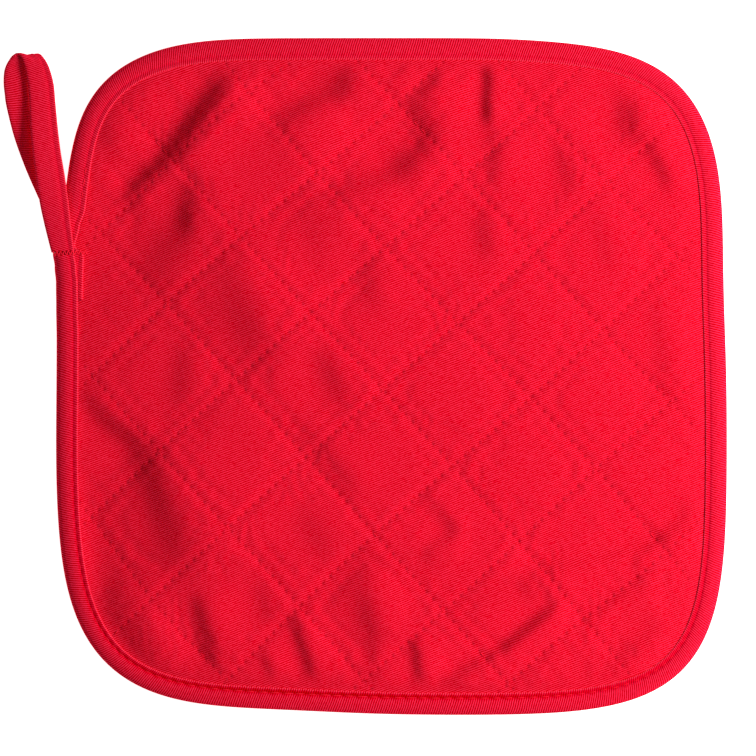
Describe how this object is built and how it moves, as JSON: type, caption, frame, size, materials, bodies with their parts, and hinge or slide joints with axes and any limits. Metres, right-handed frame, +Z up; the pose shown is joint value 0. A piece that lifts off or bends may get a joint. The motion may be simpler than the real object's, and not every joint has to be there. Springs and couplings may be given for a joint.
{
  "type": "pot holder",
  "caption": "Square quilted cloth pot holder with rounded corners, a folded tape edge and a tape hanging loop at one corner.",
  "frame": {"origin": "middle of the bounding box at the lowest point, on the surface that the pot holder lies on", "axes": "+Z up out of the face, +Y towards the edge beside the hanging loop, and the loop is at the -X +Y corner"},
  "size_m": [0.2172, 0.2031, 0.0079],
  "materials": {
    "pad_cloth": "matt cotton twill, quilted",
    "edge_tape": "matt ribbed cotton tape"
  },
  "bodies": {
    "root": {"quilted_pad": "pad_cloth", "edge_binding": "edge_tape", "hanging_loop": "edge_tape"}
  },
  "joints": []
}
